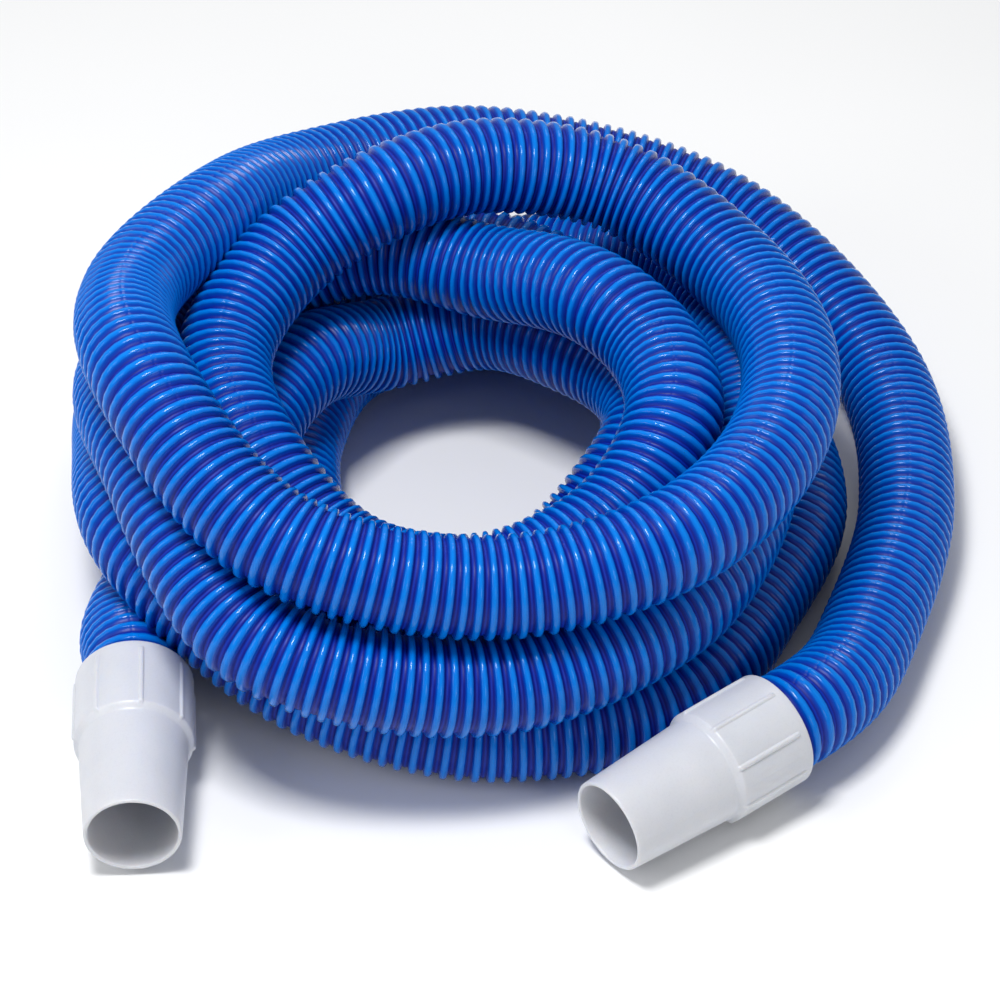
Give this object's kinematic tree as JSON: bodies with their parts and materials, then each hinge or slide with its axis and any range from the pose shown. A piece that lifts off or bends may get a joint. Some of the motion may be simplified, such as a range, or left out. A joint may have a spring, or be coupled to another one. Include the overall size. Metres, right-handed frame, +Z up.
{
  "type": "pool vacuum hose",
  "caption": "Coiled corrugated swimming-pool vacuum hose with a swivel push-on cuff on each end, for joining a pool cleaning head to a skimmer or pump.",
  "frame": {"origin": "on the floor under the middle of the whole coil with its cuffs", "axes": "+Z up, the coil lies flat on the floor; the left cuff's mouth points to about -Y, +X to the viewer's right, +Y away from the viewer"},
  "size_m": [0.4038, 0.4674, 0.1739],
  "materials": {
    "hose_wall": "glossy blue blow-moulded EVA with raised corrugations",
    "cuff_plastic": "white injection-moulded plastic, satin to glossy",
    "collar_plastic": "off-white injection-moulded plastic",
    "seal_rubber": "black soft rubber"
  },
  "bodies": {
    "hose": {"hose": "hose_wall", "left_collar": "collar_plastic", "left_washer": "seal_rubber", "right_collar": "collar_plastic", "right_washer": "seal_rubber"},
    "left_cuff": {"left_cuff": "cuff_plastic"},
    "right_cuff": {"right_cuff": "cuff_plastic"}
  },
  "joints": [
    {"name": "left_cuff_swivel", "type": "hinge", "parent": "hose", "child": "left_cuff", "pos_m": [-0.1675, -0.1305, 0.02899], "axis": [0.061, -0.9968, -0.0523], "continuous": true},
    {"name": "right_cuff_swivel", "type": "hinge", "parent": "hose", "child": "right_cuff", "pos_m": [0.1115, -0.1605, 0.02899], "axis": [-0.7869, -0.6148, -0.0523], "continuous": true}
  ]
}
